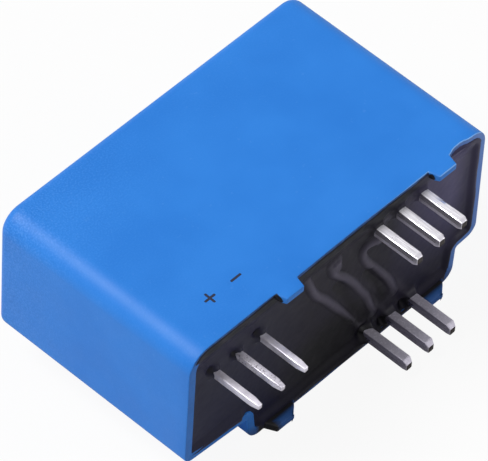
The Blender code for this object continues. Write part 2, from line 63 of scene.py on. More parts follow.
def makeActive(piece):
    deselectAll()
    piece.select_set(True)
    bpy.context.view_layer.objects.active = piece


def editMesh(piece, kind="FACE"):
    makeActive(piece)
    bpy.ops.object.mode_set(mode="EDIT")
    bpy.ops.mesh.select_mode(type=kind)
    bpy.ops.mesh.select_all(action="DESELECT")


def selectMesh():
    bpy.ops.mesh.select_all(action="SELECT")


# Selects the verts, edges or faces whose place, and normal or run, pass the test.
def pick(piece, kind, test):
    bpy.ops.mesh.select_mode(type=kind)
    bpy.ops.mesh.select_all(action="DESELECT")
    mesh = bmesh.from_edit_mesh(piece.data)
    if kind == "VERT":
        for vert in mesh.verts:
            vert.select = bool(test(vert.co, vert.normal))
    elif kind == "EDGE":
        for edge in mesh.edges:
            start, end = edge.verts
            edge.select = bool(test((start.co + end.co) / 2, end.co - start.co))
    else:
        for face in mesh.faces:
            face.select = bool(test(face.calc_center_median(), face.normal))
    mesh.select_flush_mode()
    bmesh.update_edit_mesh(piece.data)


# Selects the faces that look along y: up to the roof with 1, down to the pins' tips with -1.
def pickFacing(piece, way):
    pick(piece, "FACE", lambda middle, normal: normal.y * way > 0.9)


# Two measures that agree to a hundredth of a millimetre.
def near(first, second):
    return abs(first - second) < 0.01 * mm


def extrude(shift):
    bpy.ops.mesh.extrude_region_move(TRANSFORM_OT_translate={"value": shift})


def cutAcross(axis, place):
    selectMesh()
    normal = Vector((axis == "X", axis == "Y", 0))
    bpy.ops.mesh.bisect(plane_co=normal * place, plane_no=normal)


def fixNormals():
    selectMesh()
    bpy.ops.mesh.remove_doubles(threshold=1e-7)
    bpy.ops.mesh.normals_make_consistent(inside=False)


def applyPlace(piece):
    makeActive(piece)
    bpy.ops.object.transform_apply(location=True, rotation=True, scale=True)


# A box of the given size, left in edit mode.
def addBox(middle, size):
    deselectAll()
    bpy.ops.mesh.primitive_cube_add(size=1.0, location=middle, scale=size)
    box = bpy.context.object
    applyPlace(box)
    editMesh(box)
    return box


def applyModifier(piece, kind, **settings):
    makeActive(piece)
    modifier = piece.modifiers.new(kind.title(), kind)
    for name, value in settings.items():
        setattr(modifier, name, value)
    bpy.ops.object.modifier_apply(modifier=modifier.name)


# Unites a piece with another one or cuts it by it; the other one is used up.
def combine(piece, other, operation):
    applyModifier(piece, "BOOLEAN", operation=operation, solver="EXACT", object=other)
    bpy.data.objects.remove(other, do_unlink=True)


# Rounds the edges that are sharper than the first angle, and shades smooth up to the second.
def roundEdges(piece, width, segments, sharpest, smoothest):
    applyModifier(piece, "BEVEL", width=width, segments=segments, limit_method="ANGLE",
                  angle_limit=math.radians(sharpest), use_clamp_overlap=False)
    bpy.ops.object.shade_smooth_by_angle(angle=math.radians(smoothest))


def meshPlaces(piece):
    places = np.empty(len(piece.data.vertices) * 3)
    piece.data.vertices.foreach_get("co", places)
    return places.reshape(-1, 3)


def boxMiddle(node):
    low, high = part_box(node)
    return (low + high) / 2, (high - low) / 2


def finishPiece(piece, name, material, slot, *nodes):
    leaveEditMode()
    piece.name = name
    piece.data.name = name
    piece.data.materials.clear()
    piece.data.materials.append(material)
    if nodes:
        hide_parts(*nodes)
    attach(piece, "root")


# Builds the first of three like pieces, copies it to the places of the others, and finishes
# all three.
def finishThree(kind, build, material, slot):
    nodes = [f"{kind}_{number}" for number in (1, 2, 3)]
    lows = [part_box(node)[0] for node in nodes]
    pieces = [build(*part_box(nodes[0]))]
    for low in lows[1:]:
        piece = pieces[0].copy()
        piece.data = pieces[0].data.copy()
        bpy.context.scene.collection.objects.link(piece)
        piece.location = (low.x - lows[0].x, 0, 0)
        applyPlace(piece)
        pieces.append(piece)
    for piece, node in zip(pieces, nodes):
        finishPiece(piece, "dressed_" + node, material, slot, node)


# Material helpers

def colour(hexText):
    channels = [int(hexText[start:start + 2], 16) / 255 for start in (1, 3, 5)]
    linear = [value / 12.92 if value <= 0.04045 else ((value + 0.055) / 1.055) ** 2.4
              for value in channels]
    return (*linear, 1.0)


# Fills a node's inputs, in the order of those in use or by name. Hex text is a colour, and a
# socket or another node's result is linked.
def fillInputs(node, *ordered, **named):
    pairs = list(zip([socket for socket in node.inputs if socket.enabled], ordered))
    pairs += [(node.inputs[name.replace("_", " ")], value) for name, value in named.items()]
    for socket, value in pairs:
        if isinstance(value, bpy.types.Node):
            value = next(output for output in value.outputs if output.enabled)
        if isinstance(value, bpy.types.NodeSocket):
            node.id_data.links.new(value, socket)
        else:
            socket.default_value = colour(value) if isinstance(value, str) else value


# Adds a node. A name in lower case is one of its settings, the rest are its inputs.
def addNode(tree, kind, *ordered, **named):
    node = tree.nodes.new("ShaderNode" + kind)
    for name in [key for key in named if key[0].islower()]:
        setattr(node, name, named.pop(name))
    fillInputs(node, *ordered, **named)
    return node


# Gives back the material, its shader, and addNode for its own node tree.
def startMaterial(name, **values):
    material = bpy.data.materials.new(name)
    material.use_nodes = True
    shader = material.node_tree.nodes["Principled BSDF"]
    fillInputs(shader, **values)
    return material, shader, partial(addNode, material.node_tree)


# A pattern of patches of one size: what lies between the first two limits becomes 0 to 1, or
# what the other two say.
def patches(add, place, size, detail, *limits):
    return add("MapRange", add("TexNoise", place, 1 / size, detail), *limits)


# Camera, floor and light

stagePlan = {
    "cameraPlace": (-0.21901, -0.18425, 0.34883),
    "cameraTurn": (40.186, -2.397, -46.793),
    "lens": 423.16,
    "sensorWidth": 36.0,
    "nearest": 0.01,
    "farthest": 20.0,
    "floorWidth": 6.0,
    "floorGap": 0.02 * mm,
    "floorColour": "#E6E6E6",
    "floorGlow": 0.92,
    "floorGlowInGloss": 0.1,
    "skyFill": 0.13,
    # Each lamp's place, width and power. They look at the middle of the object.
    "lamps": {
        "key": ((-0.42, 0.38, 0.82), 0.6, 10.1),
        "card": ((0.14, -0.11, 0.09), 0.1, 0.045),
        "edge card": ((0.11, -0.17, 0.094), 0.08, 0.05),
    },
}


def makeCamera():
    camera = bpy.data.objects.new("camera", bpy.data.cameras.new("camera"))
    bpy.context.scene.collection.objects.link(camera)
    camera.location = stagePlan["cameraPlace"]
    camera.rotation_euler = [math.radians(angle) for angle in stagePlan["cameraTurn"]]
    camera.data.lens = stagePlan["lens"]
    camera.data.sensor_width = stagePlan["sensorWidth"]
    camera.data.clip_start = stagePlan["nearest"]
    camera.data.clip_end = stagePlan["farthest"]
    bpy.context.scene.camera = camera


# One value for rays from the camera and another for those that a gloss or a glass sends on.
def seenDirectly(add, fromCamera, fromGloss):
    path = add("LightPath").outputs
    passed = add("Math", path["Is Glossy Ray"], path["Is Transmission Ray"], operation="MAXIMUM")
    passed = add("Math", passed, fromGloss, operation="MULTIPLY")
    direct = add("Math", path["Is Camera Ray"], fromCamera, operation="MULTIPLY")
    return add("Math", passed, direct, operation="MAXIMUM")


def makeFloor():
    deselectAll()
    bpy.ops.mesh.primitive_plane_add(size=stagePlan["floorWidth"],
                                     location=(0, 0, -stagePlan["floorGap"]))
    floor = bpy.context.object
    floor.name = "floor"
    material, shader, add = startMaterial("matt white studio floor", Roughness=0.9,
                                          Specular_IOR_Level=0.1,
                                          Base_Color=stagePlan["floorColour"])
    glow = add("Emission", Color="#FFFFFF", Strength=1.0)
    share = seenDirectly(add, stagePlan["floorGlow"], stagePlan["floorGlowInGloss"])
    fillInputs(material.node_tree.nodes["Material Output"],
               Surface=add("MixShader", share, shader, glow))
    floor.data.materials.append(material)


def makeSky():
    world = bpy.data.worlds.new("studio")
    world.use_nodes = True
    add = partial(addNode, world.node_tree)
    strength = add("MapRange", seenDirectly(add, 1.0, 1.0), 0.0, 1.0, stagePlan["skyFill"], 1.0)
    fillInputs(world.node_tree.nodes["Background"], Color="#FFFFFF", Strength=strength)
    bpy.context.scene.world = world


def addLamp(name, place, width, power):
    lamp = bpy.data.objects.new(name, bpy.data.lights.new(name, "AREA"))
    bpy.context.scene.collection.objects.link(lamp)
    lamp.data.shape = "DISK"
    lamp.data.size = width
    lamp.data.energy = power
    lamp.location = place
    lamp.rotation_euler = (-Vector(place)).to_track_quat("-Z", "Y").to_euler()


def makeStage():
    makeCamera()
    makeFloor()
    makeSky()
    for name, values in stagePlan["lamps"].items():
        addLamp(name, *values)
    bpy.context.scene.view_settings.view_transform = "Standard"
    print("stage ready")


# The case: one thin-walled moulding, open on the pin side. Its sizes are from its left end,
# its rim and its back.

casePlan = {
    "wall": 0.78 * mm,
    "cavityDepth": 19.1 * mm,
    "footHeight": 1.0 * mm,
    "backStep": 3.6 * mm,
    "backSlope": 0.7 * mm,
    "raisedStart": 7.2 * mm,
    "rightShoulder": 2.4 * mm,
    "raisedLean": 0.2 * mm,
    "cornerRadii": (0.9, 0.3, 1.3, 1.3, 0.3, 1.1, 1.8, 2.0),  # in mm, as caseCorners has them
    "leastRadius": 0.08 * mm,
    "cornerSteps": 12,
    "roofRadius": 0.88 * mm,
    "roofSteps": 8,
    "edgeRadius": 0.1 * mm,
    "leftFoot": 3.3 * mm,
    "rightFoot": 3.2 * mm,
    "footWidth": 1.9 * mm,
    "footFlare": 0.25 * mm,
    "backFlare": 0.5 * mm,
    "footChamfer": 0.5 * mm,
    "footThinning": 0.15 * mm,
    "cutSpacing": 1.5 * mm,
    "wallCuts": (1.0 * mm, 2.5 * mm, 4.5 * mm),
    "warpReach": 4 * mm,
    "wander": 0.03 * mm,
    "wanderSize": 3.5 * mm,
    "bow": 0.06 * mm,
    "bowMiddle": 0.58,
    "bowWidth": 0.12,
    "dentPlace": 30.2 * mm,
    "dentDepth": 0.25 * mm,
    "dentWidth": 0.9 * mm,
    "dentReach": 1.5 * mm,
    "dentCuts": 0.33 * mm,
    # Its finish, with the patterns' sizes
    "blues": ("#257AD6", "#2B80DC"),
    "cloudSize": 5 * mm,
    "specks": "#5C9BE4",
    "speckSize": 0.5 * mm,
    # The grain's tones, partly a painted sheen where it catches the light
    "grainSheenTones": ("#6FA6EC", "#1E63B4"),
    "skinSize": 0.15 * mm,
    # Painted shade on the rim along the front wall, and the rim's pale tone at the right end
    "rimShadeAndPaleTones": ("#051846", "#8A8CAE"),
    "rimPatches": 0.6 * mm,
    # A painted shade on the back feet and the back wall by the rim
    "paintedBackShade": "#232048",
    # A painted highlight on the front edge
    "edgeHighlight": "#8FC3FF",
    "smear": "#07060B",
    "raggedSize": 0.7 * mm,
    "raggedReach": 0.15 * mm,
    "handlingPatches": 2.4 * mm,
    "sparkSize": 0.14 * mm,
    "sparkDepth": 0.004 * mm,
    # Where resin ran over the rim as it was poured, in mm from the left end, the rim and
    # the back.
    "backFeet": ((8.35, 12.2), (25.6, 29.6)),
    "clearTip": 0.36,
    "backLimit": 2.0,
    "leftPart": 1.35,
    "notches": ((9.3, -0.2, 15.7, 0.45), (26.6, -0.2, 15.7, 0.42)),
    "rightRim": 4.2,
}

boxLow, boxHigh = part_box("case")
leftX, rightX = boxLow.x, boxHigh.x
rimY = boxLow.y + casePlan["footHeight"]
roofY = boxHigh.y
backZ, frontZ = boxLow.z, boxHigh.z
raisedStartX = leftX + casePlan["raisedStart"]
raisedEndX = rightX - casePlan["rightShoulder"]


# Corners as (x, z, radius), anticlockwise from the back left one.
def caseCorners():
    thinZ = backZ + casePlan["backStep"]
    slope = casePlan["backSlope"]
    lean = casePlan["raisedLean"]
    places = (
        (leftX, thinZ),
        (raisedStartX - lean, thinZ - slope),
        (raisedStartX + lean, backZ),
        (raisedEndX - lean / 2, backZ),
        (raisedEndX + lean / 2, thinZ - slope / 3),
        (rightX, thinZ),
        (rightX, frontZ),
        (leftX, frontZ),
    )
    return [(*place, radius * mm) for place, radius in zip(places, casePlan["cornerRadii"])]


# Each corner's place and radius, with the directions of the sides that meet there.
def cornerRuns(corners):
    for index, (x, z, radius) in enumerate(corners):
        here = Vector((x, z))
        arriving = (here - Vector(corners[index - 1][:2])).normalized()
        leaving = (Vector(corners[(index + 1) % len(corners)][:2]) - here).normalized()
        yield here, radius, arriving, leaving


def insetCorners(corners, distance):
    moved = []
    for here, radius, arriving, leaving in cornerRuns(corners):
        inward = Vector((-arriving.y - leaving.y, arriving.x + leaving.x))
        shift = inward / (1 + arriving.dot(leaving))
        outerTurn = arriving.x * leaving.y > arriving.y * leaving.x
        change = -distance if outerTurn else distance
        moved.append((*(here + shift * distance), max(radius + change, casePlan["leastRadius"])))
    return moved


# A flat plate in the outline's shape: a plane cut in three, its middle drawn out for the
# raised back, its corners then moved to their places and rounded.
def outlinePlate(corners, y):
    deselectAll()
    bpy.ops.mesh.primitive_plane_add(size=1.0, rotation=(math.radians(90), 0, 0))
    plate = bpy.context.object
    low = Vector((corners[0][0], y, corners[0][1]))
    high = Vector((corners[6][0], y, corners[6][1]))
    plate.location = (low + high) / 2
    plate.scale = (high.x - low.x, high.z - low.z, 1.0)
    applyPlace(plate)
    editMesh(plate)
    startX, endX = corners[2][0], corners[3][0]
    for x in (startX, endX):
        cutAcross("X", x)
    pick(plate, "EDGE", lambda middle, run: near(middle.z, low.z)
         and near(middle.x, (startX + endX) / 2))
    extrude((0, 0, corners[2][1] - low.z))
    selectMesh()
    bpy.ops.mesh.dissolve_limited(angle_limit=math.radians(1))
    for x, (rootX, rootZ, radius) in ((startX, corners[1]), (endX, corners[4])):
        pick(plate, "VERT", lambda place, normal: near(place.x, x) and near(place.z, low.z))
        bpy.ops.transform.translate(value=(rootX - x, 0, rootZ - low.z))
    for here, radius, arriving, leaving in cornerRuns(corners):
        reach = radius * math.tan(arriving.angle(leaving) / 2)
        pick(plate, "VERT", lambda place, normal: near(place.x, here.x)
             and near(place.z, here.y))
        bpy.ops.mesh.bevel(offset=reach, segments=casePlan["cornerSteps"], affect="VERTICES",
                           profile=0.5)
    return plate


# The closed end is rounded over by a fan of small insets.
def roundOver(radius, steps):
    for step in range(steps):
        first = math.radians(90 * step / steps)
        second = math.radians(90 * (step + 1) / steps)
        bpy.ops.mesh.inset(thickness=radius * (math.cos(first) - math.cos(second)),
                           depth=radius * (math.sin(second) - math.sin(first)))


# Draws one foot out of the rim in two steps, on the front wall with side 1 and on the back
# wall with side -1. Its base flares, and a back foot has one chamfered corner.
def drawFoot(shell, startX, endX, side, flare, chamfer):
    wall = casePlan["wall"]
    half = casePlan["footHeight"] / 2
    faceZ = frontZ if side > 0 else backZ

    def inWall(place, share):
        return (faceZ - place.z) * side < share * wall

    pick(shell, "FACE", lambda middle, normal: normal.y < -0.9 and inWall(middle, 1.0)
         and startX < middle.x < endX)
    extrude((0, -half, 0))
    extrude((0, -half, 0))
    moves = [(0.0, startX, -flare), (half, startX, -flare / 2), (0.0, endX, flare)]
    moves.append((2 * half, endX, -1.2 * chamfer) if chamfer else (half, endX, flare / 2))
    for level, x, shift in moves:
        pick(shell, "VERT", lambda place, normal: near(place.y, rimY - level)
             and near(place.x, x) and inWall(place, 1.2))
        bpy.ops.transform.translate(value=(shift, 0, 0))
    pick(shell, "VERT", lambda place, normal: place.y < rimY - 1.8 * half
         and near(place.z, faceZ - side * wall))
    bpy.ops.transform.translate(value=(0, 0, side * casePlan["footThinning"]))


# How far the front wall's rim draws back beside the right corner, where the mould filled last.
def rimDent(place):
    away = (place.x - leftX - casePlan["dentPlace"]) / casePlan["dentWidth"]
    atFront = min(1.0, max(0.0, (place.z - frontZ + 1.3 * mm) / (0.5 * mm)))
    atRim = min(1.0, max(0.0, 1 - (place.y - rimY) / casePlan["dentReach"]))
    return casePlan["dentDepth"] * math.exp(-away ** 4) * atFront * atRim


# The rim of a thin moulding is never quite straight: it wanders, and the front wall bows
# outwards between the feet.
def warpRim(shell):
    for vert in shell.data.vertices:
        place = vert.co
        nearRim = max(0.0, 1.0 - (place.y - rimY) / casePlan["warpReach"])
        if place.y < rimY - 0.05 * mm:
            nearRim = 1.0
        sway = noise.noise(Vector((place.x, 0.0, place.z)) / casePlan["wanderSize"])
        place.y += casePlan["wander"] * sway * nearRim
        along = (place.x - leftX) / (rightX - leftX) - casePlan["bowMiddle"]
        if place.z > frontZ - 1.5 * mm and abs(place.x) < 14 * mm:
            bulge = math.exp(-(along / casePlan["bowWidth"]) ** 2)
            place.z += casePlan["bow"] * nearRim * bulge
        place.y += rimDent(place)


def buildCase():
    plan = casePlan
    shell = outlinePlate(caseCorners(), rimY)
    editMesh(shell)
    selectMesh()
    extrude((0, roofY - rimY - plan["roofRadius"], 0))
    selectMesh()
    bpy.ops.mesh.normals_make_consistent(inside=False)
    pickFacing(shell, 1)
    roundOver(plan["roofRadius"], plan["roofSteps"])
    pickFacing(shell, -1)
    bpy.ops.mesh.inset(thickness=plan["wall"], depth=0.0)
    extrude((0, plan["cavityDepth"], 0))
    half = plan["footWidth"] / 2
    chamfer = plan["footChamfer"]
    feet = (raisedStartX + plan["leftFoot"], raisedEndX - plan["rightFoot"])
    for middle in feet:
        for x in (middle - half, middle + half, middle + half + chamfer):
            cutAcross("X", x)
    for middle in feet:
        drawFoot(shell, middle - half, middle + half, 1, plan["footFlare"], 0.0)
        drawFoot(shell, middle - half, middle + half + chamfer, -1, plan["backFlare"], chamfer)
    spacing = plan["cutSpacing"]
    for number in range(1, int((raisedEndX - raisedStartX) / spacing)):
        cutAcross("X", raisedStartX + number * spacing)
    for number in range(-3, 4):
        cutAcross("X", leftX + plan["dentPlace"] + number * plan["dentCuts"])
    for depth in plan["wallCuts"]:
        cutAcross("Y", rimY + depth)
    fixNormals()
    leaveEditMode()
    warpRim(shell)
    roundEdges(shell, plan["edgeRadius"], 3, 32, 30)
    finishPiece(shell, "caseShell", bluePolyester(), "blue_plastic", "case")
    print("case built,", len(shell.data.polygons), "faces")


# Resin covers a back foot's left side and the face towards the pins, and fills the notch
# beside each front foot.
def smearShare(add, place, facingZ):
    x, y, z = add("SeparateXYZ", place).outputs
    pattern = add("TexNoise", place, 1 / casePlan["raggedSize"], 3.0)
    ragged = add("MapRange", pattern, 0.3, 0.7, -casePlan["raggedReach"], casePlan["raggedReach"])
    raggedX = add("Math", x, ragged, operation="ADD")
    tipY = rimY - casePlan["footHeight"] + casePlan["clearTip"] * mm
    inner = add("Math", add("MapRange", facingZ, 0.3, 0.6),
                add("MapRange", y, tipY, tipY + 0.35 * mm), operation="MULTIPLY")
    backLimit = backZ + casePlan["backLimit"] * mm
    below = add("Math", add("MapRange", y, rimY + 0.1 * mm, rimY + 0.3 * mm, 1.0, 0.0),
                add("MapRange", z, backLimit - 0.1 * mm, backLimit, 1.0, 0.0),
                operation="MULTIPLY")
    smeared = 0.0
    for start, end in casePlan["backFeet"]:
        firstX = leftX + (start + casePlan["leftPart"]) * mm
        left = add("MapRange", raggedX, firstX - 0.15 * mm, firstX + 0.45 * mm, 1.0, 0.0)
        cover = add("Math", inner, left, operation="MAXIMUM")
        for edge, low, high in ((start, 0.0, 1.0), (end, 1.0, 0.0)):
            edgeX = leftX + edge * mm
            inside = add("MapRange", raggedX, edgeX - 0.25 * mm, edgeX + 0.25 * mm, low, high)
            cover = add("Math", cover, inside, operation="MULTIPLY")
        cover = add("Math", cover, below, operation="MULTIPLY")
        smeared = add("Math", smeared, cover, operation="MAXIMUM")
    for right, up, out, radius in casePlan["notches"]:
        centre = (leftX + right * mm, rimY + up * mm, backZ + out * mm)
        distance = add("VectorMath", place, centre, operation="DISTANCE")
        spot = add("MapRange", add("Math", distance, ragged, operation="ADD"),
                   0.8 * radius * mm, radius * mm, 1.0, 0.0)
        smeared = add("Math", smeared, spot, operation="MAXIMUM")
    return smeared


def bluePolyester():
    # Glass-filled polyester moulded in a fine-textured tool: an even satin blue with a soft
    # broad sheen, faint flow clouds and a fine skin that breaks up the highlight, its grain
    # partly a painted sheen near the left roof edge. Black resin has run over the feet in places
    # and set there, glossier than the plastic. The rim faces are painted dark along the front
    # wall, a painted shade, and pale at the right end; the back feet and the back wall by the rim
    # carry a painted shade, and the right half of the front edge a painted highlight.
    plan = casePlan
    material, shader, add = startMaterial("satin moulded polyester", IOR=1.57,
                                          Specular_IOR_Level=0.24)
    coordinates = add("TexCoord").outputs
    place = coordinates["Object"]
    x, y, z = add("SeparateXYZ", place).outputs
    facing = add("SeparateXYZ", coordinates["Normal"]).outputs
    clouds = patches(add, place, plan["cloudSize"], 2.0, 0.35, 0.65)
    specks = patches(add, place, plan["speckSize"], 4.0, 0.68, 0.74, 0.0, 0.2)
    # The skin's grain is painted in pale and dark flecks: the tool's texture, and a painted sheen
    # where it catches the light.
    # It shows most along the marked face's left roof edge, and little on the roof itself.
    skin = add("TexNoise", place, 1 / plan["skinSize"], 3.0)
    grainSheenShare = add("MapRange", x, leftX, leftX + 14 * mm, 1.0, 0.2)
    for share in (add("MapRange", y, roofY - 9 * mm, roofY, 0.08, 0.34),
                  add("MapRange", facing["Y"], 0.2, 0.7, 1.0, 0.25)):
        grainSheenShare = add("Math", grainSheenShare, share, operation="MULTIPLY")
    pale, dark = [add("Math", add("MapRange", skin, 0.5, end), grainSheenShare, operation="MULTIPLY")
                  for end in (0.68, 0.32)]
    # A tone is painted on the rim faces that face the pins, and hardly on the feet: dark along the
    # front wall, a painted shade, and pale at the right end.
    edgeX = rightX - plan["rightRim"] * mm
    atRight = add("MapRange", x, edgeX, edgeX + 1.5 * mm)
    atFront = add("MapRange", z, frontZ - 1.1 * mm, frontZ - 0.7 * mm, 0.25, 0.8)
    patchy = patches(add, place, plan["rimPatches"], 3.0, 0.3, 0.7, 0.75, 1.1)
    rimShadeAndPale = add("MapRange", facing["Y"], -0.9, -0.6, 1.0, 0.0)
    for share in (add("MapRange", y, rimY - 0.5 * mm, rimY - 0.3 * mm, 0.12, 1.0),
                  add("Mix", atRight, atFront, 0.4), patchy):
        rimShadeAndPale = add("Math", rimShadeAndPale, share, operation="MULTIPLY")
    rimShadeAndPaleTone = add("Mix", atRight, *plan["rimShadeAndPaleTones"], data_type="RGBA")
    # A painted shade darkens the back feet and the back wall by the rim.
    paintedBackShade = add("Math", add("MapRange", z, backZ + 0.8 * mm, backZ + 1.6 * mm, 0.52, 0.0),
               add("MapRange", y, rimY - 0.05 * mm, rimY + 0.4 * mm, 1.0, 0.0),
               operation="MULTIPLY")
    # The right half of the front edge gets a painted highlight, a pale blue line along its rounded
    # edge.
    edgeHighlightShare = add("MapRange", facing["Y"], -0.4, -0.2, 1.0, 0.0)
    for share in (add("MapRange", facing["Z"], 0.2, 0.4),
                  add("MapRange", x, 2 * mm, 12 * mm, 0.0, 0.8),
                  add("MapRange", z, frontZ - 0.6 * mm, frontZ - 0.4 * mm), patchy):
        edgeHighlightShare = add("Math", edgeHighlightShare, share, operation="MULTIPLY")
    smeared = smearShare(add, place, facing["Z"])
    base = add("Mix", clouds, *plan["blues"], data_type="RGBA")
    for share, tone in ((specks, plan["specks"]), (pale, plan["grainSheenTones"][0]),
                        (dark, plan["grainSheenTones"][1]), (rimShadeAndPale, rimShadeAndPaleTone), (paintedBackShade, plan["paintedBackShade"]),
                        (edgeHighlightShare, plan["edgeHighlight"]), (smeared, plan["smear"])):
        base = add("Mix", share, base, tone, data_type="RGBA")
    dull = patches(add, place, plan["handlingPatches"], 3.0, 0.3, 0.7, 0.46, 0.54)
    dull = add("Math", smeared, -0.06, dull, operation="MULTIPLY_ADD")
    # The tool's spark texture is near 0.03 mm; it is drawn coarser so that it shows.
    spark = add("TexNoise", place, 1 / plan["sparkSize"], 2.0)
    relief = add("Bump", Height=spark, Distance=plan["sparkDepth"], Strength=0.6)
    fillInputs(shader, Base_Color=base, Roughness=dull, Normal=relief)
    return material


# The primary conductors: flat copper bar, bent like a staple, with coined tips.

barPlan = {
    "thickness": 0.95 * mm,
    "tipLength": 0.42 * mm,
    "tipShare": 0.7,
    "tipShift": 0.1,
    "bendRadius": 1.2 * mm,
    "edgeRadius": 0.09 * mm,
    "rolledWidth": 0.38,
    "rolledDrop": 0.07 * mm,
    # Their finish
    "tin": ("#D3D0D8", "#F1EFF5"),
    "torn": "#E6E2F0",
    # A painted shade on the back legs
    "legShade": "#8A8691",
    "specks": "#D6D2DC",
    # The sheared sides' painted shade and light
    "frontSideShadeToLight": ("#6F6B78", "#CCC7D6"),
    "backSideShade": "#77728A",
    "coined": "#8F8B98",
    "cut": "#2C2422",
    "streakWidth": 0.12 * mm,
    "streakStretch": 0.1,
    "tornDepth": (0.36 * mm, 0.42 * mm),
    "shearedWidth": (0.02 * mm, 0.05 * mm),
    "creep": (2.1 * mm, 1.1 * mm),
    "speckSize": 0.2 * mm,
    "glossPatches": 0.7 * mm,
}


# Draws a bar's end out to a narrower tip.
def drawTip(bar, plan):
    pickFacing(bar, -1)
    extrude((0, -plan["tipLength"], 0))
    bpy.ops.transform.resize(value=(plan["tipShare"], 1, plan["tipShare"]))


def buildStaple(low, high):
    plan = barPlan
    width = high.x - low.x
    thick = plan["thickness"]
    middleX = (low.x + high.x) / 2
    middleZ = (low.z + high.z) / 2
    legZ = high.z - thick / 2
    bendY = high.y - thick / 2 - plan["bendRadius"]
    bendZ = legZ - plan["bendRadius"]
    shankStart = low.y + plan["tipLength"]
    bar = addBox((middleX, (shankStart + bendY) / 2, legZ), (width, bendY - shankStart, thick))
    cutAcross("X", high.x - plan["rolledWidth"] * width)
    pick(bar, "VERT", lambda place, normal: near(place.x, high.x) and place.z > legZ)
    bpy.ops.transform.translate(value=(0, 0, -plan["rolledDrop"]))
    drawTip(bar, plan)
    bpy.ops.transform.translate(value=(-plan["tipShift"] * width, 0, plan["tipShift"] * thick))
    pickFacing(bar, 1)
    bpy.ops.mesh.spin(steps=6, angle=math.radians(90), axis=(1, 0, 0),
                      center=(middleX, bendY, bendZ))
    pick(bar, "FACE", lambda middle, normal: middle.y > bendY and near(middle.z, bendZ)
         and abs(normal.z) > 0.9)
    extrude((0, 0, middleZ - bendZ))
    bpy.ops.mesh.delete(type="FACE")
    leaveEditMode()
    mirrorBar(bar, middleZ)
    roundEdges(bar, plan["edgeRadius"], 2, 28, 8)
    return bar


def mirrorBar(bar, middleZ):
    bpy.context.scene.cursor.location = (0, 0, middleZ)
    makeActive(bar)
    bpy.ops.object.origin_set(type="ORIGIN_CURSOR")
    applyModifier(bar, "MIRROR", use_axis=(False, False, True), merge_threshold=0.01 * mm)
    applyPlace(bar)
    bpy.context.scene.cursor.location = (0, 0, 0)
    editMesh(bar)
    fixNormals()
    leaveEditMode()


